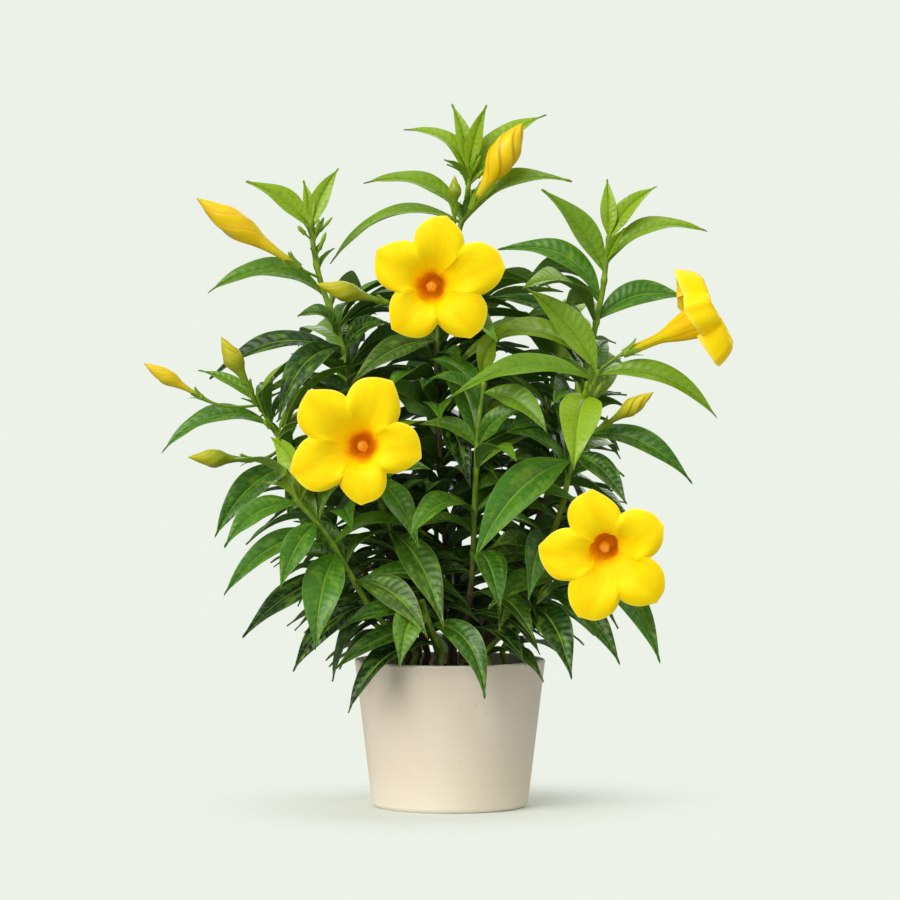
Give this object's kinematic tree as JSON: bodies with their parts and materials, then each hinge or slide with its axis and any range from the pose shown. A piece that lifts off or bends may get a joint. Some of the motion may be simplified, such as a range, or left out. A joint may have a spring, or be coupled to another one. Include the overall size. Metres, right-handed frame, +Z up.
{
  "type": "potted allamanda plant",
  "caption": "Potted climbing plant with whorls of pointed leaves, yellow trumpet blooms and rolled buds, in a plain tapered round pot of soil.",
  "frame": {"origin": "centre of the flat underside of the pot, where it rests", "axes": "+Z up along the axis of the pot, -Y towards the side that most blooms face"},
  "size_m": [0.3826, 0.2378, 0.457],
  "materials": {
    "pot_ceramic": "smooth satin cream",
    "potting_soil": "rough, dark brown, crumbly; wood stands in for potting soil",
    "foliage": "glossy green leaves and stems; leather stands in for leaf and stem tissue",
    "petal": "satin bright yellow; fabric stands in for petal tissue",
    "bud": "satin yellow to yellow-green; fabric stands in for petal tissue"
  },
  "bodies": {
    "root": {"pot": "pot_ceramic", "soil": "potting_soil", "stem_top": "foliage", "stem_upper_left": "foliage", "stem_left": "foliage", "stem_low_left": "foliage", "stem_left_bloom": "foliage", "stem_middle": "foliage", "stem_upper_right": "foliage", "stem_right": "foliage", "stem_right_bloom": "foliage", "stem_front": "foliage", "stem_back_left": "foliage", "stem_back": "foliage", "stem_back_right": "foliage", "stem_low_back": "foliage", "stem_low_back_left": "foliage", "stem_low_back_right": "foliage", "bloom_top": "petal", "bloom_left": "petal", "bloom_low_right": "petal", "bloom_right": "petal", "bud_top": "bud", "bud_top_small": "bud", "bud_upper_left": "bud", "bud_far_left": "bud", "bud_left_upright": "bud", "bud_left_low": "bud", "bud_middle": "bud", "bud_right": "bud"}
  },
  "joints": []
}
